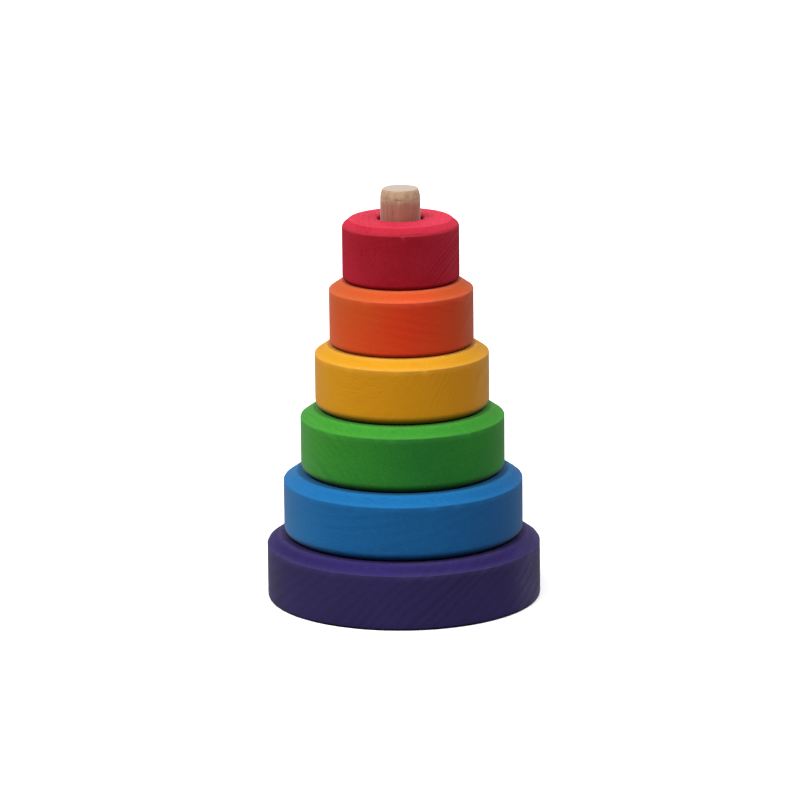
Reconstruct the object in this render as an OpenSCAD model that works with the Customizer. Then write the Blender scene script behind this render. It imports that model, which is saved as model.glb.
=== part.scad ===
// Rainbow stacking tower: a round base with an upright peg, and bevelled rings that lift off the peg.
// Lengths are in millimetres, +Z is up, and the origin is the centre of the base's underside.

/* [Thickness] */
// Thickness of the base and of every ring but the top one
disc_h = 23.6; // [18:0.1:32]
// Thickness of the red top ring
red_h = 22.7; // [16:0.1:32]

/* [Diameters] */
// Diameter of the purple base
base_d = 100; // [70:0.5:140]
// Diameter of the blue ring
blue_d = 87.5; // [60:0.5:120]
// Diameter of the green ring
green_d = 74.5; // [52:0.5:110]
// Diameter of the yellow ring
yellow_d = 63.5; // [46:0.5:100]
// Diameter of the orange ring
orange_d = 52.5; // [40:0.5:90]
// Diameter of the red top ring
red_d = 42.5; // [34:0.5:80]

/* [Edges] */
// Radial width of the sloped shoulder on the base and on every ring but the top one
shoulder_w = 4.8; // [2:0.1:7]
// Height of that shoulder
shoulder_h = 3.3; // [1:0.1:8]
// Radial width of the red ring's shoulder
red_shoulder_w = 2.9; // [1:0.1:5]
// Height of the red ring's shoulder
red_shoulder_h = 2.5; // [1:0.1:8]
// Radius of the rounded lower edge of the base
base_foot_r = 1.2; // [0.5:0.1:4]
// Radius of the rounded lower edge of the blue, green and yellow rings
wide_foot_r = 3.4; // [0.5:0.1:4]
// Radius of the rounded lower edge of the orange and red rings
slim_foot_r = 1.8; // [0.5:0.1:4]
// Bevel round both mouths of each ring's bore
mouth_bevel = 0.6; // [0.2:0.1:1.5]

/* [Peg] */
// Diameter of the peg
peg_d = 14.6; // [10:0.1:18]
// Length of peg that stands out above the red ring
peg_reach = 10.8; // [6:0.1:30]
// Height of the crowned end of the peg
crown_h = 3.6; // [2.4:0.1:4.5]
// Radial width of the crowned end of the peg
crown_w = 0.85; // [0.5:0.05:1.5]
// Slope of the crown where it leaves the peg's side, in degrees
crown_lead = 5; // [2:1:6]
// Bevel round the foot of the peg
peg_foot_bevel = 1; // [0.3:0.1:2]
// Thickness of wood left under the peg's socket in the base
socket_floor = 7.6; // [4:0.1:12]

/* [Fits] */
// Radial play of each ring on the peg
ring_play = 0.9; // [0.3:0.05:2]
// Radial gap for glue round the peg in its socket
glue_gap = 0.05; // [0.02:0.01:0.2]

/* [Hidden] */
$fn = 128;
arc_steps = 10;

// Each ring stands on the flat top of the disc under it
blue_z = disc_h;
green_z = blue_z + disc_h;
yellow_z = green_z + disc_h;
orange_z = yellow_z + disc_h;
red_z = orange_z + disc_h;
stack_top = red_z + red_h;

peg_r = peg_d / 2;
peg_top = stack_top + peg_reach;
bore_r = peg_r + ring_play;
socket_r = peg_r + glue_gap;

// The crown is one arc, which turns from crown_lead to crown_end on its way in and up
crown_end = 2 * atan2(crown_w, crown_h) - crown_lead;
crown_r = crown_h / (sin(crown_end) - sin(crown_lead));
crown_z = peg_top - crown_h;

function arc_points(cx, cz, r, from, to) = [
    for (i = [0 : arc_steps])
        let (a = from + (to - from) * i / arc_steps)
            [cx + r * cos(a), cz + r * sin(a)]
];

// Outer half of a disc's section: rounded lower edge, straight side and sloped shoulder
function rim_points(d, h, slope_w, slope_h, foot) = concat(
    arc_points(d / 2 - foot, foot, foot, -90, 0),
    [[d / 2, h - slope_h], [d / 2 - slope_w, h]]
);

// Inner half of a ring's section: the bore with its two bevelled mouths, from the top down
function bore_points(h) = [
    [bore_r + mouth_bevel, h],
    [bore_r, h - mouth_bevel],
    [bore_r, mouth_bevel],
    [bore_r + mouth_bevel, 0]
];

// Inner half of the base's section: the blind socket, then the axis down to the underside
function socket_points(h) = [
    [socket_r, h],
    [socket_r, socket_floor],
    [0, socket_floor],
    [0, 0]
];

module turned_ring(d, h, slope_w, slope_h, foot) {
    rotate_extrude()
        polygon(concat(rim_points(d, h, slope_w, slope_h, foot), bore_points(h)));
}

module base_disc() {
    color("#3B3168")
        rotate_extrude()
            polygon(concat(
                rim_points(base_d, disc_h, shoulder_w, shoulder_h, base_foot_r),
                socket_points(disc_h)
            ));
}

module peg() {
    color("#D2AE8C")
        rotate_extrude()
            polygon(concat(
                [
                    [0, socket_floor],
                    [peg_r - peg_foot_bevel, socket_floor],
                    [peg_r, socket_floor + peg_foot_bevel]
                ],
                arc_points(
                    peg_r - crown_r * cos(crown_lead),
                    crown_z - crown_r * sin(crown_lead),
                    crown_r, crown_lead, crown_end
                ),
                [[0, peg_top]]
            ));
}

module blue_ring() {
    color("#2274B4")
        translate([0, 0, blue_z])
            turned_ring(blue_d, disc_h, shoulder_w, shoulder_h, wide_foot_r);
}

module green_ring() {
    color("#42A237")
        translate([0, 0, green_z])
            turned_ring(green_d, disc_h, shoulder_w, shoulder_h, wide_foot_r);
}

module yellow_ring() {
    color("#F5AB27")
        translate([0, 0, yellow_z])
            turned_ring(yellow_d, disc_h, shoulder_w, shoulder_h, wide_foot_r);
}

module orange_ring() {
    color("#E95A2E")
        translate([0, 0, orange_z])
            turned_ring(orange_d, disc_h, shoulder_w, shoulder_h, slim_foot_r);
}

module red_ring() {
    color("#D13247")
        translate([0, 0, red_z])
            turned_ring(red_d, red_h, red_shoulder_w, red_shoulder_h, slim_foot_r);
}

base_disc();
peg();
blue_ring();
green_ring();
yellow_ring();
orange_ring();
red_ring();
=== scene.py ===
import math

import bmesh
import bpy
from mathutils import Matrix, Quaternion, Vector, noise


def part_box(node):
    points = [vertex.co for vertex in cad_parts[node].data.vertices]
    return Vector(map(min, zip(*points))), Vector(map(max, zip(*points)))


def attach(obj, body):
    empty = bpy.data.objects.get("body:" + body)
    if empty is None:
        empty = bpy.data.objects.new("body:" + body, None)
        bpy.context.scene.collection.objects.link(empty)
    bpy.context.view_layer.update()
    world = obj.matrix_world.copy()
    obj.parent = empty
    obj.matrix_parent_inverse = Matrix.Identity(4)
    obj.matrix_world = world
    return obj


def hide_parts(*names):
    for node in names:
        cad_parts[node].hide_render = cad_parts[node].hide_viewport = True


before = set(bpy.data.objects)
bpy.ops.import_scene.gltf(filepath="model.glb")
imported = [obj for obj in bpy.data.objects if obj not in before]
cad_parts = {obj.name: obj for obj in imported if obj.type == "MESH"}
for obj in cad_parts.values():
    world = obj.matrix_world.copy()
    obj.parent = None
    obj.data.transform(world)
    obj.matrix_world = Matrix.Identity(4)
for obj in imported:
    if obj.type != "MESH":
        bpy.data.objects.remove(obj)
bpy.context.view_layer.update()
print("frame loaded:", ", ".join(sorted(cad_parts)))


# How the wood is turned and sanded, the same for every piece; lengths are in metres
turning = {
    "stepLength": 0.0008,   # length of one step round the rim
    "leastSteps": 220,      # steps round the smallest piece
    "stretch": 0.002,       # longest straight stretch of a section before it is divided
    "arcSteps": 5,          # steps in a softened edge
    "arcStep": 0.0004,      # a rounding gets one more step for each such length
    "hair": 0.00002,        # two heights or radii this close are the same
    "weld": 0.000002,       # points this close become one
    "holeShare": 0.05,      # a hole is wider than this share of the rim
    "footShare": 0.98,      # share of the solid's rounded foot that is rounded here
    "crownShare": 0.9,      # share of the crown that is one arc
    "wearReach": 0.0006,    # how far wear spreads from an edge
    "broadDips": 70,        # how close together the dips in the surface are
    "closeDips": 230,       # and those in the edges
}


def sectionOf(node):
    # radius and height of every point of a turned solid
    return [(math.hypot(v.co.x, v.co.y), v.co.z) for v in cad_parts[node].data.vertices]


def readDisc(node):
    # the few sizes that make a disc, read off its solid
    points = sectionOf(node)
    hair = turning["hair"]
    low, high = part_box(node)
    rim = max(r for r, z in points)
    sideHeights = [z for r, z in points if r > rim - hair]
    topRadii = [r for r, z in points if z > high.z - hair]
    hole = min(r for r, z in points if r > rim * turning["holeShare"])
    return {
        "low": low.z, "high": high.z, "rim": rim, "hole": hole,
        "sideLow": min(sideHeights), "sideHigh": max(sideHeights),
        "flat": max(topRadii), "mouth": min(topRadii),
        "holeLow": min(z for r, z in points if abs(r - hole) < hair),
    }


def softenCorner(bm, corner, rounding):
    bmesh.ops.bevel(
        bm, geom=[corner], offset=rounding, offset_type="OFFSET",
        segments=turning["arcSteps"] + int(rounding / turning["arcStep"]),
        profile=0.5, affect="VERTICES", material=-1,
    )


def turnSection(corners, closed):
    # corners are (radius, height, rounding); the section is softened, divided and spun round Z
    bm = bmesh.new()
    points = [bm.verts.new((r, 0, z)) for r, z, rounding in corners]
    ends = points[1:] + points[:1] if closed else points[1:]
    for start, end in zip(points, ends):
        bm.edges.new((start, end))
    for point, (r, z, rounding) in zip(points, corners):
        if rounding:
            softenCorner(bm, point, rounding)
    for edge in [e for e in bm.edges if e.calc_length() > turning["stretch"]]:
        bmesh.ops.subdivide_edges(bm, edges=[edge], cuts=int(edge.calc_length() / turning["stretch"]))
    rim = max(r for r, z, rounding in corners)
    steps = max(turning["leastSteps"], int(2 * math.pi * rim / turning["stepLength"])) // 4
    bmesh.ops.spin(
        bm, geom=bm.verts[:] + bm.edges[:], cent=(0, 0, 0), axis=(0, 0, 1), dvec=(0, 0, 0),
        angle=math.pi / 2, steps=steps, use_merge=False, use_duplicate=False,
    )
    for turn in (math.pi / 2, math.pi):  # the quarter becomes a half, then the whole
        copied = bmesh.ops.duplicate(bm, geom=bm.verts[:] + bm.edges[:] + bm.faces[:])["geom"]
        bmesh.ops.rotate(
            bm, verts=[v for v in copied if isinstance(v, bmesh.types.BMVert)],
            cent=(0, 0, 0), matrix=Matrix.Rotation(turn, 3, "Z"),
        )
    bmesh.ops.remove_doubles(bm, verts=bm.verts[:], dist=turning["weld"])
    bmesh.ops.recalc_face_normals(bm, faces=bm.faces[:])
    return bm


def sandByHand(bm, edges, details):
    # the surface dips a little here and there, the edges more; everything moves inwards only
    wear = bm.verts.layers.float.new("edgeWear")
    bm.normal_update()
    seed = details["seed"]
    moves = []
    for vert in bm.verts:
        radius = math.hypot(vert.co.x, vert.co.y)
        gap = min(math.hypot(radius - r, vert.co.z - z) for r, z in edges)
        vert[wear] = max(0.0, 1 - gap / turning["wearReach"])
        broad = 0.5 + 0.5 * noise.noise(vert.co * turning["broadDips"] + seed)
        close = max(0.0, noise.noise(vert.co * turning["closeDips"] - seed))
        dip = details["sanding"] * broad + details["edgeSanding"] * close * vert[wear]
        moves.append((vert, vert.normal * dip))
    for vert, move in moves:
        vert.co -= move


def knockEdge(bm, turn, edge, size, depth):
    # a small dent in an edge; turn is in degrees from the front, to the right
    wear = bm.verts.layers.float["edgeWear"]
    radius, height = edge
    angle = math.radians(turn)
    middle = Vector((radius * math.sin(angle), -radius * math.cos(angle), height))
    inwards = Vector((-middle.x, -middle.y, -radius)).normalized()
    for vert in bm.verts:
        near = 1 - (vert.co - middle).length / size
        if near > 0:
            vert.co += inwards * depth * near * near * (3 - 2 * near)  # a smooth bowl
            vert[wear] = max(vert[wear], near)


def finishPiece(bm, details):
    mesh = bpy.data.meshes.new(details["piece"])
    for face in bm.faces:
        face.smooth = True
    bm.to_mesh(mesh)
    bm.free()
    piece = bpy.data.objects.new(details["piece"], mesh)
    bpy.context.collection.objects.link(piece)
    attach(piece, details["body"])
    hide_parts(details["node"])
    print(details["piece"], "turned:", len(mesh.polygons), "faces")
    return piece


def rimCorners(disc, details):
    # the outside of a disc, from its underside up to its flat top
    foot = disc["sideLow"] - disc["low"]
    soft = details["edgeSoft"]
    return [
        (disc["rim"], disc["low"], foot * turning["footShare"]),
        (disc["rim"], disc["sideHigh"], soft),
        (disc["flat"], disc["high"], soft),
    ]


def dressRim(bm, disc, details):
    edges = {"side": (disc["rim"], disc["sideHigh"]), "flat": (disc["flat"], disc["high"])}
    sandByHand(bm, list(edges.values()), details)
    for turn, edge, size, depth in details.get("nicks", ()):
        knockEdge(bm, turn, edges[edge], size, depth)


def turnRing(details):
    # a loose ring: the rim, then down the bore with its two bevelled mouths
    disc = readDisc(details["node"])
    bevel = disc["mouth"] - disc["hole"]
    soft = details["mouthSoft"]
    bm = turnSection(rimCorners(disc, details) + [
        (disc["mouth"], disc["high"], soft),
        (disc["hole"], disc["high"] - bevel, soft),
        (disc["hole"], disc["low"] + bevel, soft),
        (disc["mouth"], disc["low"], soft),
    ], closed=True)
    dressRim(bm, disc, details)
    return finishPiece(bm, details)


def turnBase(details):
    # the base: its underside, the rim, then down into the blind socket that the peg is glued in
    disc = readDisc(details["node"])
    bm = turnSection([(0, disc["low"], 0)] + rimCorners(disc, details) + [
        (disc["hole"], disc["high"], details["mouthSoft"]),
        (disc["hole"], disc["holeLow"], 0),
        (0, disc["holeLow"], 0),
    ], closed=False)
    dressRim(bm, disc, details)
    return finishPiece(bm, details)


def turnPeg(details):
    # the dowel: a bevelled foot, a straight side and a crown that is one arc up to a small flat
    points = sectionOf(details["node"])
    hair = turning["hair"]
    low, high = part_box(details["node"])
    side = max(r for r, z in points)
    foot = max(r for r, z in points if z < low.z + hair)
    top = max(r for r, z in points if z > high.z - hair)
    crownLow = max(z for r, z in points if r > side - hair)
    lead = math.radians(details["crownLead"])
    chord = Vector((side - top, high.z - crownLow))
    # the arc's two end tangents are this long where they meet
    tangent = chord.length / 2 / math.cos(math.atan2(chord.x, chord.y) - lead)
    meetRadius = side - tangent * math.sin(lead)
    meetHeight = crownLow + tangent * math.cos(lead)
    bm = turnSection([
        (0, low.z, 0),
        (foot, low.z, 0),
        (side, low.z + side - foot, details["edgeSoft"]),
        (side, crownLow, details["edgeSoft"]),
        (meetRadius, meetHeight, tangent * turning["crownShare"]),
        (top, high.z, details["topSoft"]),
        (0, high.z, 0),
    ], closed=False)
    sandByHand(bm, [(side, crownLow), (top, high.z)], details)
    return finishPiece(bm, details)


def addNode(tree, kind, feeds=None, **settings):
    # a node with its settings, and its inputs set to a value or fed by another node's output
    node = tree.nodes.new(kind)
    for name, value in settings.items():
        setattr(node, name, value)
    for name, feed in (feeds or {}).items():
        if isinstance(feed, bpy.types.NodeSocket):
            tree.links.new(feed, node.inputs[name])
        else:
            node.inputs[name].default_value = feed
    return node


def mathNode(tree, operation, a, b=0.0, clamp=False):
    return addNode(tree, "ShaderNodeMath", {0: a, 1: b}, operation=operation, use_clamp=clamp).outputs[0]


def vectorNode(tree, operation, a, b):
    return addNode(tree, "ShaderNodeVectorMath", {0: a, 1: b}, operation=operation).outputs[0]


def lengthNode(tree, vector):
    return addNode(tree, "ShaderNodeVectorMath", {0: vector}, operation="LENGTH").outputs["Value"]


def axisNode(tree, vector, axis):
    return addNode(tree, "ShaderNodeSeparateXYZ", {"Vector": vector}).outputs[axis]


def turnNode(tree, vector, turn):
    # turn is in degrees about X, Y and Z
    return addNode(
        tree, "ShaderNodeVectorRotate",
        {"Vector": vector, "Rotation": tuple(math.radians(a) for a in turn)}, rotation_type="EULER_XYZ",
    ).outputs[0]


def rangeNode(tree, value, start=0.0, end=1.0, first=0.0, last=1.0, smooth=True):
    # the value's way from start to end becomes a way from first to last
    return addNode(
        tree, "ShaderNodeMapRange",
        {"Value": value, "From Min": start, "From Max": end, "To Min": first, "To Max": last},
        interpolation_type="SMOOTHSTEP" if smooth else "LINEAR",
    ).outputs["Result"]


def mixNode(tree, share, a, b, blend="MIX"):
    return addNode(
        tree, "ShaderNodeMix", {"Factor": share, 6: a, 7: b}, data_type="RGBA", blend_type=blend,
    ).outputs[2]


def stretched(tree, point, along, across):
    # the point with a pattern drawn out along the fibres
    return vectorNode(tree, "MULTIPLY", point, (along, across, across))


noiseMiddle = 0.5  # a noise node's values lie round this


def noiseNode(tree, point, scale, detail, roughness=0.5, result="Fac"):
    return addNode(
        tree, "ShaderNodeTexNoise",
        {"Vector": point, "Scale": scale, "Detail": detail, "Roughness": roughness},
    ).outputs[result]


def grey(level):
    return (level, level, level, 1)


def newGroup(name, inputs, outputs):
    group = bpy.data.node_groups.new(name, "ShaderNodeTree")
    for label, kind, value in inputs:
        socket = group.interface.new_socket(name=label, in_out="INPUT", socket_type="NodeSocket" + kind)
        if value is not None:
            socket.default_value = value
    for label, kind in outputs:
        group.interface.new_socket(name=label, in_out="OUTPUT", socket_type="NodeSocket" + kind)
    return group, group.nodes.new("NodeGroupInput").outputs, group.nodes.new("NodeGroupOutput").inputs


# The figure that every piece of wood has; scales are per millimetre
figure = {
    "driftAlong": 0.006, "driftAcross": 0.02,               # how slowly the rings wander
    "unevenScale": 0.37, "unevenReach": 0.7,                # how the years differ in width
    "faintestYear": 0.45,
    "yearEnds": 0.5,                                        # how dark a year is at its two ends
    "yearStops": ((0.25, 0.0), (0.5, 0.2), (0.78, 1.0)),    # and in between: pale early, dark late
    "patchScale": 0.045, "patchLow": 0.4, "patchHigh": 0.6, "faintestPatch": 0.45,
    "fibreAlong": 0.04, "fibreScale": 1.3, "fibreRoughness": 0.6,
    "poreAlong": 0.16, "poreScale": 2.1, "poreLow": 0.58, "poreHigh": 0.72,
    "cloudAlong": 0.35, "cloudScale": 0.05,
}


def woodFigure(details):
    # growth rings round a pith on the X axis, fibres along X, pores and clouds; Point is in millimetres
    group, given, gives = newGroup(
        "woodFigure",
        [("Point", "Vector", None), ("Ring Gap", "Float", 4.0), ("Wander", "Float", 6.0)],
        [("Rings", "Float"), ("Fibre", "Float"), ("Pores", "Float"), ("Cloud", "Float")],
    )
    point = given["Point"]
    slow = stretched(group, point, details["driftAlong"], details["driftAcross"])
    drift = noiseNode(group, slow, scale=1.0, detail=2.0, result="Color")
    drift = vectorNode(group, "SUBTRACT", drift, (noiseMiddle, noiseMiddle, noiseMiddle))
    drift = addNode(
        group, "ShaderNodeVectorMath", {0: drift, "Scale": given["Wander"]}, operation="SCALE",
    ).outputs[0]
    bent = vectorNode(group, "ADD", point, drift)
    years = mathNode(group, "DIVIDE", lengthNode(group, stretched(group, bent, 0, 1)), given["Ring Gap"])
    uneven = addNode(
        group, "ShaderNodeTexNoise",
        {"W": mathNode(group, "MULTIPLY", years, details["unevenScale"]), "Scale": 1.0, "Detail": 1.0},
        noise_dimensions="1D",
    ).outputs[0]
    years = mathNode(group, "ADD", years, mathNode(group, "MULTIPLY", uneven, details["unevenReach"]))
    strength = addNode(
        group, "ShaderNodeTexWhiteNoise", {"W": mathNode(group, "FLOOR", years)}, noise_dimensions="1D",
    ).outputs["Value"]
    strength = rangeNode(group, strength, first=details["faintestYear"], smooth=False)
    ramp = addNode(group, "ShaderNodeValToRGB", {"Fac": mathNode(group, "FRACT", years)})
    ramp.color_ramp.interpolation = "B_SPLINE"
    for end in (0, 1):
        ramp.color_ramp.elements[end].color = grey(details["yearEnds"])
    for place, level in details["yearStops"]:
        ramp.color_ramp.elements.new(place).color = grey(level)
    patch = rangeNode(
        group, noiseNode(group, point, details["patchScale"], detail=2.0),
        details["patchLow"], details["patchHigh"], details["faintestPatch"],
    )
    strength = mathNode(group, "MULTIPLY", strength, patch)
    group.links.new(mathNode(group, "MULTIPLY", ramp.outputs["Color"], strength), gives["Rings"])
    fibre = stretched(group, bent, details["fibreAlong"], 1)
    fibre = noiseNode(group, fibre, details["fibreScale"], detail=4.0, roughness=details["fibreRoughness"])
    group.links.new(fibre, gives["Fibre"])
    pores = stretched(group, point, details["poreAlong"], 1)
    pores = noiseNode(group, pores, details["poreScale"], detail=2.0)
    group.links.new(rangeNode(group, pores, details["poreLow"], details["poreHigh"]), gives["Pores"])
    cloud = stretched(group, point, details["cloudAlong"], 1)
    cloud = noiseNode(group, cloud, details["cloudScale"], detail=3.0)
    group.links.new(cloud, gives["Cloud"])
    return group


# How stain takes to the wood
soaking = {
    "least": 0.3,           # how deep the stain sits in plain wood
    "wearGain": 2.0,        # makes up for wear being patchy
    "fibreRough": 0.25, "poreRough": 0.1, "poreDepth": 0.6,
}


def stainSoak(details):
    # how deep the colour sits: darker on late rings, pores and end grain, pale where an edge is worn; pale
    # streaks are partly stain gone pale and partly painted sheen; painted light lightens the upright sides
    # and painted shade darkens the creases
    group, given, gives = newGroup(
        "stainSoak",
        [
            ("Rings", "Float", 0.0), ("Fibre", "Float", 0.5), ("Pores", "Float", 0.0),
            ("Cloud", "Float", 0.5), ("End Grain", "Float", 0.0), ("Wear And Sheen", "Float", 0.0),
            ("Pale", "Color", None), ("Deep", "Color", None), ("Worn", "Color", None),
            ("Ring Amount", "Float", 0.4), ("Fibre Amount", "Float", 0.5), ("Pore Amount", "Float", 0.2),
            ("Cloud Amount", "Float", 0.6), ("End Amount", "Float", 0.3), ("Wear And Sheen Amount", "Float", 0.4),
            ("Side", "Float", 0.0), ("Side Tint", "Color", None),
            ("Side Light", "Color", None), ("Side Light Amount", "Float", 0.0),
            ("Crease Shade", "Float", 0.0), ("Crease Shade Amount", "Float", 0.0), ("Crease Shade Tone", "Color", None),
            ("Roughness", "Float", 0.55),
        ],
        [("Colour", "Color"), ("Roughness", "Float"), ("Height", "Float")],
    )
    soak = mathNode(group, "MULTIPLY", given["Rings"], given["Ring Amount"])
    for mask, amount, middle in (
        ("Fibre", "Fibre Amount", noiseMiddle), ("Cloud", "Cloud Amount", noiseMiddle),
        ("Pores", "Pore Amount", 0.0), ("End Grain", "End Amount", 0.0),
    ):
        part = mathNode(group, "SUBTRACT", given[mask], middle)
        soak = mathNode(group, "ADD", soak, mathNode(group, "MULTIPLY", part, given[amount]))
    soak = mathNode(group, "ADD", soak, details["least"], clamp=True)
    colour = mixNode(group, soak, given["Pale"], given["Deep"])
    # painted light: the upright sides are lightened by the side tint and mixed towards the side light colour
    colour = mixNode(group, given["Side"], colour, given["Side Tint"], "MULTIPLY")
    sideLit = mathNode(group, "MULTIPLY", given["Side"], given["Side Light Amount"])
    colour = mixNode(group, sideLit, colour, given["Side Light"])
    patchy = mathNode(group, "MULTIPLY", given["Fibre"], given["Cloud"])
    wornAndSheen = mathNode(group, "MULTIPLY", given["Wear And Sheen"], patchy)
    wornAndSheen = mathNode(group, "MULTIPLY", wornAndSheen, given["Wear And Sheen Amount"])
    wornAndSheen = mathNode(group, "MULTIPLY", wornAndSheen, details["wearGain"], clamp=True)
    colour = mixNode(group, wornAndSheen, colour, given["Worn"])
    # painted shade: the creases and rounded feet are darkened towards the shade tone
    creaseShaded = mathNode(group, "MULTIPLY", given["Crease Shade"], given["Crease Shade Amount"])
    group.links.new(mixNode(group, creaseShaded, colour, given["Crease Shade Tone"], "MULTIPLY"), gives["Colour"])
    rough = mathNode(group, "SUBTRACT", given["Fibre"], noiseMiddle)
    rough = mathNode(group, "MULTIPLY", rough, details["fibreRough"])
    pitted = mathNode(group, "MULTIPLY", given["Pores"], details["poreRough"])
    rough = mathNode(group, "ADD", rough, pitted)
    group.links.new(mathNode(group, "ADD", given["Roughness"], rough, clamp=True), gives["Roughness"])
    sunk = mathNode(group, "MULTIPLY", given["Pores"], details["poreDepth"])
    height = mathNode(group, "SUBTRACT", given["Fibre"], sunk)
    group.links.new(mathNode(group, "ADD", height, given["Rings"]), gives["Height"])
    return group


# Painted crease shade: the dark band on a flat top where the next ring's foot rests, and on a piece's own
# rounded foot
creaseShading = {
    "core": 0.1,            # share of the line's reach that is darkest
    "strength": 0.65,       # of the painted shade on a flat top, beside that on the piece's own foot
    "skin": 0.00015,        # metres below the top that still count as the flat
}


def creaseShadeNodes(details):
    # painted shade on a flat top round where the next ring's foot rests, and on the piece's own rounded foot
    group, given, gives = newGroup(
        "creaseShadeNodes",
        [
            ("Position", "Vector", None), ("Top", "Float", 0.0), ("Rest Radius", "Float", 0.0),
            ("Rest Reach", "Float", 0.002), ("Foot Low", "Float", 0.0), ("Foot Rise", "Float", 0.001),
        ],
        [("Crease Shade", "Float")],
    )
    radius = lengthNode(group, vectorNode(group, "MULTIPLY", given["Position"], (1, 1, 0)))
    height = axisNode(group, given["Position"], "Z")
    away = mathNode(group, "ABSOLUTE", mathNode(group, "SUBTRACT", radius, given["Rest Radius"]))
    core = mathNode(group, "MULTIPLY", given["Rest Reach"], details["core"])
    near = rangeNode(group, away, core, given["Rest Reach"], details["strength"], 0.0)
    flatLow = mathNode(group, "SUBTRACT", given["Top"], details["skin"])
    onTop = mathNode(group, "GREATER_THAN", height, flatLow)
    footHigh = mathNode(group, "ADD", given["Foot Low"], given["Foot Rise"])
    depth = mathNode(group, "SUBTRACT", footHigh, height)
    foot = rangeNode(group, depth, end=given["Foot Rise"])
    group.links.new(
        mathNode(group, "MAXIMUM", mathNode(group, "MULTIPLY", near, onTop), foot), gives["Crease Shade"],
    )
    return group


figureGroup = woodFigure(figure)
soakGroup = stainSoak(soaking)
creaseShadeGroup = creaseShadeNodes(creaseShading)
print("wood groups built")


def pegTones(tree, details, colour, position, endGrain):
    # the side is red-brown up to a ragged line under the crown, strongest just above the red ring: partly
    # stain rubbing off the rings, partly painted red bounce light and shade from the red ring; the top is
    # sanded pale
    height = axisNode(tree, position, "Z")
    ragged = noiseNode(tree, position, details["raggedness"], detail=3.0)
    ragged = mathNode(tree, "SUBTRACT", ragged, noiseMiddle)
    ragged = mathNode(tree, "MULTIPLY", ragged, details["raggedReach"])
    side = rangeNode(
        tree, mathNode(tree, "ADD", height, ragged), details["bareLow"], details["crownLow"], smooth=False,
    )
    tint = addNode(tree, "ShaderNodeValToRGB", {"Fac": side})
    tint.color_ramp.elements[0].color = (*details["bareTint"], 1)
    tint.color_ramp.elements[1].color = (*details["crownTint"], 1)
    reach = details["crownLow"] - details["bareLow"]
    for place, tone in (("rubAndBounceLow", "rubAndBounceTint"), ("rubAndBounceHigh", "sideTint")):
        stop = tint.color_ramp.elements.new((details[place] - details["bareLow"]) / reach)
        stop.color = (*details[tone], 1)
    toned = mixNode(tree, 1.0, colour, tint.outputs["Color"], "MULTIPLY")
    crown = rangeNode(tree, side, details["crownStart"], smooth=False)
    speck = noiseNode(tree, position, details["speckScale"], detail=2.0)
    speck = rangeNode(tree, speck, details["speckLow"], details["speckHigh"])
    speck = mathNode(tree, "MULTIPLY", mathNode(tree, "MULTIPLY", speck, crown), details["speckShare"])
    toned = mixNode(tree, speck, toned, (*details["speckTone"], 1))
    sanded = mathNode(tree, "MULTIPLY", endGrain, details["topShare"])
    return mixNode(tree, sanded, toned, (*details["topTone"], 1))


# Pale streaks at one end of a rim: partly stain gone pale, partly painted sheen
fadeAndSheen = {
    "drawnOut": 0.12,                           # a streak's scale along itself, beside its scale across
    "streakLow": 0.28, "streakHigh": 0.76,
    "even": 0.3,                                # paleness between the streaks
    "shoulderShare": 0.3,                       # the streaks show less on the shoulder than on the side
}


def fadeAndSheenStreaks(tree, details, position, side):
    # pale slanted streaks towards one end of the rim: partly stain gone pale, partly painted sheen at that
    # end
    reach = rangeNode(tree, axisNode(tree, position, "X"), details["start"], details["full"])
    grade = details["grade"]
    long = grade * fadeAndSheen["drawnOut"]
    streak = addNode(
        tree, "ShaderNodeMapping",
        {"Vector": turnNode(tree, position, (0, details["slant"], 0)), "Scale": (long, long, grade)},
    ).outputs[0]
    streak = noiseNode(tree, streak, scale=1.0, detail=2.0)
    streak = rangeNode(tree, streak, fadeAndSheen["streakLow"], fadeAndSheen["streakHigh"], fadeAndSheen["even"])
    share = details["share"]
    shown = rangeNode(tree, side, first=share * fadeAndSheen["shoulderShare"], last=share, smooth=False)
    return mathNode(tree, "MULTIPLY", mathNode(tree, "MULTIPLY", reach, streak), shown)


def calmRings(tree, details, rings, position):
    # the streaks die out towards one part of the rim
    away = mathNode(tree, "SUBTRACT", axisNode(tree, position, "X"), details["middle"])
    lively = rangeNode(
        tree, mathNode(tree, "ABSOLUTE", away), details["near"], details["far"], details["least"],
    )
    return mathNode(tree, "MULTIPLY", rings, lively)


# What every finish shares
finish = {
    "millimetres": 1000,                        # in one metre
    "endPower": 2.0,                            # how fast end grain sets in as a face turns to it
    "shoulderLow": 0.3, "shoulderHigh": 0.7,    # where a face turns from shoulder to side
    "bumpHeight": 0.0002,                       # metres
    "sheenRoughness": 0.4,
}


def shadeCreases(tree, details, soak, position):
    # painted shade under the next ring and up the piece's own foot, in the piece's shade tone
    low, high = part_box(details["node"])
    creaseShade = details["creaseShade"]
    group = addNode(tree, "ShaderNodeGroup", {"Position": position}, node_tree=creaseShadeGroup)
    group.inputs["Top"].default_value = high.z
    group.inputs["Foot Low"].default_value = low.z
    group.inputs["Foot Rise"].default_value = creaseShade["rise"]
    if "under" in creaseShade:
        group.inputs["Rest Radius"].default_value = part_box(creaseShade["under"])[1].x - creaseShade["inset"]
        group.inputs["Rest Reach"].default_value = creaseShade["reach"]
    soak.inputs["Crease Shade Tone"].default_value = (*creaseShade["tone"], 1)
    tree.links.new(group.outputs["Crease Shade"], soak.inputs["Crease Shade"])


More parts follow.
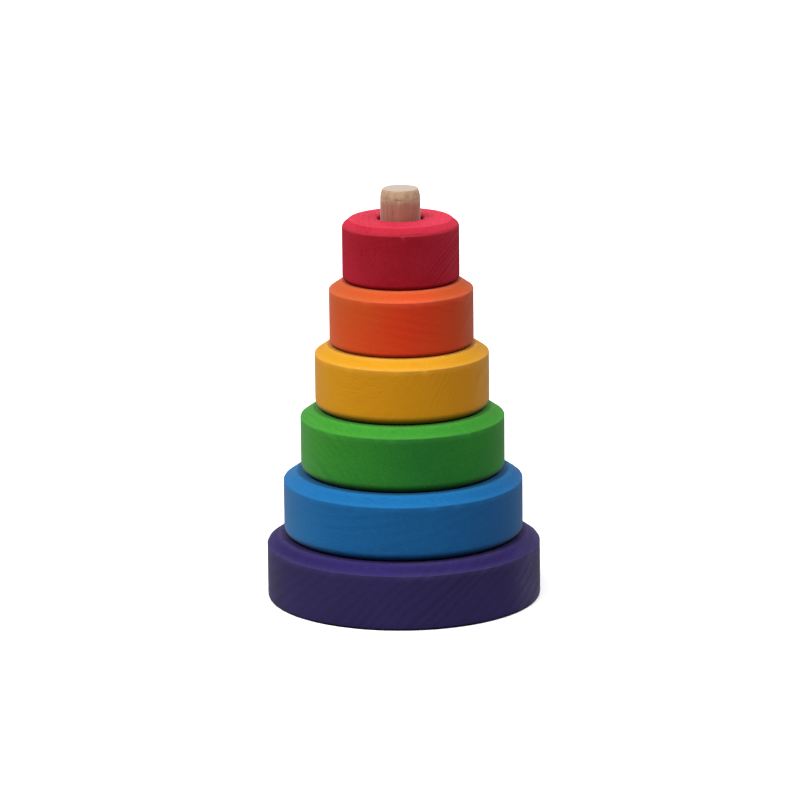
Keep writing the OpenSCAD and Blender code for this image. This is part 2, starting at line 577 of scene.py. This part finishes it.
def woodFinish(details):
    # one wood, cut from its own place in the tree and stained or left bare
    wood = bpy.data.materials.new(details["slot"])
    wood.use_nodes = True
    tree = wood.node_tree
    tree.nodes.clear()
    low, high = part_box(details["node"])
    grain = details["grain"]
    coords = addNode(tree, "ShaderNodeTexCoord")
    position = coords.outputs["Object"]
    scale = finish["millimetres"]
    middle = scale * (low.z + high.z) / 2
    centred = addNode(
        tree, "ShaderNodeMapping",
        {"Vector": position, "Location": (0, 0, -middle), "Scale": (scale, scale, scale)},
    ).outputs[0]
    point = vectorNode(
        tree, "SUBTRACT", turnNode(tree, centred, grain["turn"]), (grain["place"], *grain["pith"]),
    )
    cut = addNode(tree, "ShaderNodeGroup", {"Point": point}, node_tree=figureGroup)
    cut.inputs["Ring Gap"].default_value = grain["ringGap"]
    cut.inputs["Wander"].default_value = grain["wander"]
    facing = axisNode(tree, turnNode(tree, coords.outputs["Normal"], grain["turn"]), "X")
    endGrain = mathNode(tree, "POWER", mathNode(tree, "ABSOLUTE", facing), finish["endPower"])
    upright = mathNode(tree, "ABSOLUTE", axisNode(tree, coords.outputs["Normal"], "Z"))
    side = mathNode(tree, "SUBTRACT", 1.0, upright)
    rings = cut.outputs["Rings"]
    if "calm" in details:
        rings = calmRings(tree, details["calm"], rings, position)
    if "topRings" in grain:  # how much of the streaks is left on the shoulder and the flat
        kept = rangeNode(
            tree, side, finish["shoulderLow"], finish["shoulderHigh"], grain["topRings"], smooth=False,
        )
        rings = mathNode(tree, "MULTIPLY", rings, kept)
    wear = addNode(
        tree, "ShaderNodeAttribute", attribute_name="edgeWear", attribute_type="GEOMETRY",
    ).outputs["Fac"]
    # the wear mask now also carries pale streaks: partly stain gone pale, partly painted sheen
    if "fadeAndSheenEnd" in details:
        wear = mathNode(tree, "MAXIMUM", wear, fadeAndSheenStreaks(tree, details["fadeAndSheenEnd"], position, side))
    soak = addNode(tree, "ShaderNodeGroup", {
        "Rings": rings, "Fibre": cut.outputs["Fibre"], "Pores": cut.outputs["Pores"],
        "Cloud": cut.outputs["Cloud"], "End Grain": endGrain, "Wear And Sheen": wear, "Side": side,
        "Pale": (*details["pale"], 1), "Deep": (*details["deep"], 1), "Worn": (*details["worn"], 1),
        "Side Tint": (*details["sideTint"], 1), **details["amounts"],
    }, node_tree=soakGroup)
    # painted light on the upright sides
    if "sideLight" in details:
        soak.inputs["Side Light"].default_value = (*details["sideLight"], 1)
    if "rightShadeTint" in details:  # painted shade: the side is painted darker from its left to its right, as if lit from the left
        share = rangeNode(tree, axisNode(tree, position, "X"), low.x, high.x, smooth=False)
        sideShadeLean = mixNode(tree, share, (*details["sideTint"], 1), (*details["rightShadeTint"], 1))
        tree.links.new(sideShadeLean, soak.inputs["Side Tint"])
    # painted crease shade
    if "creaseShade" in details:
        shadeCreases(tree, details, soak, position)
    colour = soak.outputs["Colour"]
    if "tones" in details:
        colour = pegTones(tree, details["tones"], colour, position, endGrain)
    bump = addNode(tree, "ShaderNodeBump", {
        "Height": soak.outputs["Height"], "Strength": details["relief"], "Distance": finish["bumpHeight"],
    })
    shader = addNode(tree, "ShaderNodeBsdfPrincipled", {
        "Base Color": colour, "Roughness": soak.outputs["Roughness"],
        "Normal": bump.outputs["Normal"], "Specular IOR Level": details["gloss"],
        "Sheen Weight": details["sheen"], "Sheen Roughness": finish["sheenRoughness"],
    })
    addNode(tree, "ShaderNodeOutputMaterial", {"Surface": shader.outputs[0]})
    print(details["slot"], "finished")
    return wood


stainAmounts = {
    "Ring Amount": 0.15, "Fibre Amount": 0.95, "Pore Amount": 0.4, "Cloud Amount": 0.6,
    "End Amount": 0.1, "Wear And Sheen Amount": 0.32, "Side Light Amount": 0.0, "Crease Shade Amount": 0.75, "Roughness": 0.75,
}

# In each piece below lengths are in metres, turns and slants in degrees. A nick is its turn from the front,
# its edge, size and depth. The grain's place, pith, ringGap and wander are in millimetres.
# Streaks calm down towards the X of middle. Pale streaks, partly stain gone pale and partly painted sheen,
# grow from the X of start to that of full.
# Crease shade is painted in a band inset from the rim of the ring that rests there, and up the piece's own
# foot
# A side tint above one and a side light colour lighten the upright sides: painted light
purpleBase = {
    "piece": "purpleBase", "node": "base_disc", "body": "base", "slot": "purple_stain",
    "edgeSoft": 0.0003, "mouthSoft": 0.0002,
    "sanding": 0.00006, "edgeSanding": 0.0003, "seed": Vector((3, 8, 1)),
    "nicks": ((-31.6, "side", 0.0018, 0.0003), (-5.8, "flat", 0.0013, 0.0003)),
    "grain": {
        "turn": (0, 0, -90), "place": 40, "pith": (-176, -183), "ringGap": 3.3, "wander": 9,
        "topRings": 0.35,
    },
    "calm": {"middle": 0.003, "near": 0.003, "far": 0.024, "least": 0.75},
    "pale": (0.0197, 0.0107, 0.0955), "deep": (0.0074, 0.0044, 0.0344), "worn": (0.14, 0.11, 0.25),
    "sideTint": (1.44, 1.56, 1.35), "sideLight": (0.053, 0.043, 0.118),
    "fadeAndSheenEnd": {"start": 0.036, "full": 0.048, "slant": 50, "grade": 420, "share": 3.2},
    "amounts": {**stainAmounts, "Ring Amount": 0.95, "End Amount": 0.0, "Side Light Amount": 0.4},
    "creaseShade": {
        "under": "blue_ring", "inset": 0.0001, "reach": 0.0026, "rise": 0.0004,
        "tone": (0.25, 0.18, 0.22),
    },
    "relief": 0.3, "gloss": 0.05, "sheen": 0.1,
}
turnBase(purpleBase).data.materials.append(woodFinish(purpleBase))

blueRing = {
    "piece": "blueRing", "node": "blue_ring", "body": "blue", "slot": "blue_stain",
    "edgeSoft": 0.0003, "mouthSoft": 0.0003,
    "sanding": 0.00006, "edgeSanding": 0.0003, "seed": Vector((5, 1, 4)),
    "grain": {"turn": (0, 0, 40), "place": 10, "pith": (60, -240), "ringGap": 3.6, "wander": 7},
    "pale": (0.005, 0.116, 0.307), "deep": (0.0038, 0.067, 0.197), "worn": (0.04, 0.3, 0.6),
    "sideTint": (1.3, 1.27, 1.28), "sideLight": (0.034, 0.125, 0.32),
    "fadeAndSheenEnd": {"start": -0.022, "full": -0.041, "slant": 40, "grade": 80, "share": 1.6},
    "amounts": {
        **stainAmounts, "Ring Amount": 0.06, "End Amount": 0.5, "Side Light Amount": 0.2, "Crease Shade Amount": 0.95,
    },
    "creaseShade": {
        "under": "green_ring", "inset": 0.0001, "reach": 0.0028, "rise": 0.0014,
        "tone": (0.05, 0.19, 0.16),
    },
    "relief": 0.25, "gloss": 0.05, "sheen": 0.14,
}
turnRing(blueRing).data.materials.append(woodFinish(blueRing))

greenRing = {
    "piece": "greenRing", "node": "green_ring", "body": "green", "slot": "green_stain",
    "edgeSoft": 0.0003, "mouthSoft": 0.0003,
    "sanding": 0.00006, "edgeSanding": 0.0003, "seed": Vector((7, 2, 9)),
    "nicks": ((40, "side", 0.0015, 0.0004),),
    "grain": {"turn": (0, 0, 70), "place": -30, "pith": (-150, -60), "ringGap": 1.8, "wander": 6},
    "calm": {"middle": 0.02, "near": 0.022, "far": 0.05, "least": 0.08},
    "pale": (0.0425, 0.266, 0.0168), "deep": (0.017, 0.145, 0.0212), "worn": (0.15, 0.45, 0.11),
    # the right tint below the side tint paints the side darker towards its right: painted shade
    "sideTint": (1.34, 1.27, 1.4), "rightShadeTint": (0.98, 1.13, 1.1),
    "fadeAndSheenEnd": {"start": -0.026, "full": -0.036, "slant": 40, "grade": 80, "share": 1.0},
    "amounts": {
        **stainAmounts, "Ring Amount": 0.35, "Fibre Amount": 0.75, "Pore Amount": 0.3, "End Amount": 0.6,
    },
    "creaseShade": {
        "under": "yellow_ring", "inset": 0.0001, "reach": 0.0024, "rise": 0.002,
        "tone": (0.3, 0.22, 0.16),
    },
    "relief": 0.25, "gloss": 0.05, "sheen": 0.14,
}
turnRing(greenRing).data.materials.append(woodFinish(greenRing))

yellowRing = {
    "piece": "yellowRing", "node": "yellow_ring", "body": "yellow", "slot": "yellow_stain",
    "edgeSoft": 0.0003, "mouthSoft": 0.0003,
    "sanding": 0.00006, "edgeSanding": 0.0003, "seed": Vector((2, 6, 5)),
    "nicks": ((15, "side", 0.0013, 0.0003),),
    "grain": {"turn": (0, 0, 35), "place": 25, "pith": (90, -42), "ringGap": 2.0, "wander": 8},
    "pale": (0.5, 0.25, 0.01), "deep": (0.5, 0.2, 0.0045), "worn": (0.95, 0.64, 0.24),
    "sideTint": (1.45, 1.34, 0.93), "rightShadeTint": (1.2, 1.06, 1.03),
    "fadeAndSheenEnd": {"start": 0.024, "full": 0.031, "slant": 65, "grade": 420, "share": 1.1},
    "amounts": {**stainAmounts, "Ring Amount": 0.25, "Crease Shade Amount": 0.9},
    "creaseShade": {
        "under": "orange_ring", "inset": 0.0001, "reach": 0.0026, "rise": 0.0024,
        "tone": (0.42, 0.2, 0.1),
    },
    "relief": 0.25, "gloss": 0.05, "sheen": 0.14,
}
turnRing(yellowRing).data.materials.append(woodFinish(yellowRing))

orangeRing = {
    "piece": "orangeRing", "node": "orange_ring", "body": "orange", "slot": "orange_stain",
    "edgeSoft": 0.0003, "mouthSoft": 0.0003,
    "sanding": 0.00005, "edgeSanding": 0.00025, "seed": Vector((9, 4, 2)),
    "grain": {"turn": (0, 0, 75), "place": 5, "pith": (-40, -160), "ringGap": 3.0, "wander": 6},
    "pale": (0.364, 0.0864, 0.0157), "deep": (0.532, 0.0368, 0.0106), "worn": (0.9, 0.34, 0.2),
    "sideTint": (1.58, 1.42, 1.1), "rightShadeTint": (1.06, 1.03, 1.06),
    "fadeAndSheenEnd": {"start": 0.0185, "full": 0.0255, "slant": 60, "grade": 420, "share": 0.9},
    "amounts": {
        **stainAmounts, "Fibre Amount": 0.6, "Pore Amount": 0.25, "End Amount": 0.6, "Crease Shade Amount": 0.85,
    },
    "creaseShade": {
        "under": "red_ring", "inset": 0.0001, "reach": 0.0024, "rise": 0.0006,
        # this shade tone is reddened like light thrown from the red ring: painted bounce light
        "tone": (0.5, 0.1, 0.08),
    },
    "relief": 0.25, "gloss": 0.05, "sheen": 0.14,
}
turnRing(orangeRing).data.materials.append(woodFinish(orangeRing))

redRing = {
    "piece": "redRing", "node": "red_ring", "body": "red", "slot": "red_stain",
    "edgeSoft": 0.0008, "mouthSoft": 0.0003,
    "sanding": 0.00005, "edgeSanding": 0.00025, "seed": Vector((1, 3, 7)),
    "nicks": ((2, "side", 0.0012, 0.0003),),
    "grain": {
        "turn": (0, 0, -90), "place": -15, "pith": (-120, -110), "ringGap": 1.4, "wander": 5,
        "topRings": 0.3,
    },
    "calm": {"middle": -0.008, "near": 0.012, "far": 0.026, "least": 0.08},
    "pale": (0.48, 0.028, 0.061), "deep": (0.258, 0.004, 0.0087), "worn": (0.75, 0.12, 0.17),
    "sideTint": (1.17, 1.1, 1.0), "rightShadeTint": (1.05, 1.1, 1.0),
    "fadeAndSheenEnd": {"start": 0.015, "full": 0.0208, "slant": 50, "grade": 400, "share": 1.3},
    "amounts": {
        **stainAmounts, "Ring Amount": 0.48, "Fibre Amount": 0.45, "Pore Amount": 0.2,
        "Cloud Amount": 0.8, "End Amount": 0.4,
    },
    "creaseShade": {"rise": 0.0006, "tone": (0.25, 0.16, 0.16)},  # nothing rests on the red ring; only its foot gets painted shade
    "relief": 0.25, "gloss": 0.03, "sheen": 0.0,
}
turnRing(redRing).data.materials.append(woodFinish(redRing))

woodPeg = {
    "piece": "woodPeg", "node": "peg", "body": "base", "slot": "bare_wood",
    "edgeSoft": 0.0005, "topSoft": 0.00035, "crownLead": 5,  # the crown's first slope, in degrees
    "sanding": 0.00008, "edgeSanding": 0.0003, "seed": Vector((6, 9, 3)),
    "grain": {"turn": (0, 90, 0), "place": 12, "pith": (14, 9), "ringGap": 1.9, "wander": 3},
    "pale": (0.64, 0.44, 0.305), "deep": (0.3, 0.165, 0.095), "worn": (0.66, 0.5, 0.38),
    "sideTint": (1, 1, 1),
    "amounts": {
        **stainAmounts, "Ring Amount": 0.3, "Fibre Amount": 0.65, "Pore Amount": 0.3, "End Amount": 0.0,
    },
    "tones": {
        # just above the red ring the side is red-brown: partly stain rubbing off the ring, partly painted red
        # bounce light and shade
        "bareLow": 0.12, "rubAndBounceLow": 0.1399, "rubAndBounceHigh": 0.1463, "crownLow": 0.1479,  # heights
        "raggedness": 330, "raggedReach": 0.0036, "crownStart": 0.96,
        "speckScale": 640, "speckLow": 0.48, "speckHigh": 0.66,
        "speckTone": (0.3, 0.15, 0.085), "speckShare": 0.45,
        "bareTint": (0.8, 0.66, 0.6), "rubAndBounceTint": (0.67, 0.36, 0.38),
        "sideTint": (0.73, 0.54, 0.53), "crownTint": (0.89, 0.88, 0.84),
        "topTone": (0.335, 0.272, 0.23), "topShare": 0.85,
    },
    "relief": 0.3, "gloss": 0.05, "sheen": 0.42,
}
turnPeg(woodPeg).data.materials.append(woodFinish(woodPeg))


studio = {
    "floorSize": 6.0,
    "floorShade": 0.98, "floorBounce": 0.1,  # how pale the floor looks, and how much light it throws back
    "floorRoughness": 0.9, "floorGloss": 0.1,
    "worldShade": 0.05,
    "lights": (  # name, strength, softness in degrees, turn from the front to the left, height above level
        ("front", 0.8, 25, 0, 57),
        ("frontLeft", 1.64, 25, 40, 57),
        ("frontRight", 0.89, 25, -40, 57),
        ("left", 1.2, 25, 75, 57),
        ("right", 0.67, 25, -75, 57),
        ("backLeft", 1.0, 25, 110, 55),
        ("backRight", 0.8, 25, -110, 55),
        ("back", 1.0, 45, 180, 25),
    ),
}


def layFloor(details):
    floor = bpy.data.meshes.new("paleFloor")
    bm = bmesh.new()
    bmesh.ops.create_grid(bm, x_segments=1, y_segments=1, size=details["floorSize"] / 2)
    bm.to_mesh(floor)
    bm.free()
    sheet = bpy.data.objects.new("paleFloor", floor)
    bpy.context.collection.objects.link(sheet)
    paper = bpy.data.materials.new("palePaper")
    paper.use_nodes = True
    shader = paper.node_tree.nodes["Principled BSDF"]
    seen = addNode(paper.node_tree, "ShaderNodeLightPath").outputs["Is Camera Ray"]
    shade = rangeNode(
        paper.node_tree, seen, first=details["floorBounce"], last=details["floorShade"], smooth=False,
    )
    paper.node_tree.links.new(shade, shader.inputs["Base Color"])
    shader.inputs["Roughness"].default_value = details["floorRoughness"]
    shader.inputs["Specular IOR Level"].default_value = details["floorGloss"]
    floor.materials.append(paper)


def hangLight(name, strength, softness, turn, height):
    lamp = bpy.data.lights.new(name, "SUN")
    lamp.energy = strength
    lamp.angle = math.radians(softness)
    light = bpy.data.objects.new(name, lamp)
    bpy.context.collection.objects.link(light)
    turn, height = math.radians(turn), math.radians(height)
    level = math.cos(height)
    fromThere = Vector((-math.sin(turn) * level, -math.cos(turn) * level, math.sin(height)))
    light.rotation_euler = fromThere.to_track_quat("Z", "Y").to_euler()


def setStudio(details):
    layFloor(details)
    for light in details["lights"]:
        hangLight(*light)
    world = bpy.data.worlds.new("studioAir")
    world.use_nodes = True
    world.node_tree.nodes["Background"].inputs["Color"].default_value = (1, 1, 1, 1)
    world.node_tree.nodes["Background"].inputs["Strength"].default_value = details["worldShade"]
    bpy.context.scene.world = world
    bpy.context.scene.view_settings.view_transform = "Standard"
    print("studio set")


setStudio(studio)

photoCamera = {
    "aim": Vector((-0.00083, 0, 0.0728)), "distance": 1.645, "farthest": 50,  # metres
    "height": 13.8, "roll": -0.6,  # degrees
    "lens": 203.3, "sensor": 36.0,  # millimetres
}


def placeCamera(details):
    camera = bpy.data.objects.new("photoCamera", bpy.data.cameras.new("photoCamera"))
    bpy.context.collection.objects.link(camera)
    camera.data.lens = details["lens"]
    camera.data.sensor_width = details["sensor"]
    camera.data.clip_end = details["farthest"]
    height = math.radians(details["height"])
    back = Vector((0, -math.cos(height), math.sin(height)))
    camera.location = details["aim"] + back * details["distance"]
    roll = Quaternion((0, 0, 1), math.radians(details["roll"]))
    camera.rotation_euler = (back.to_track_quat("Z", "Y") @ roll).to_euler()
    bpy.context.scene.camera = camera
    print("camera placed")


placeCamera(photoCamera)
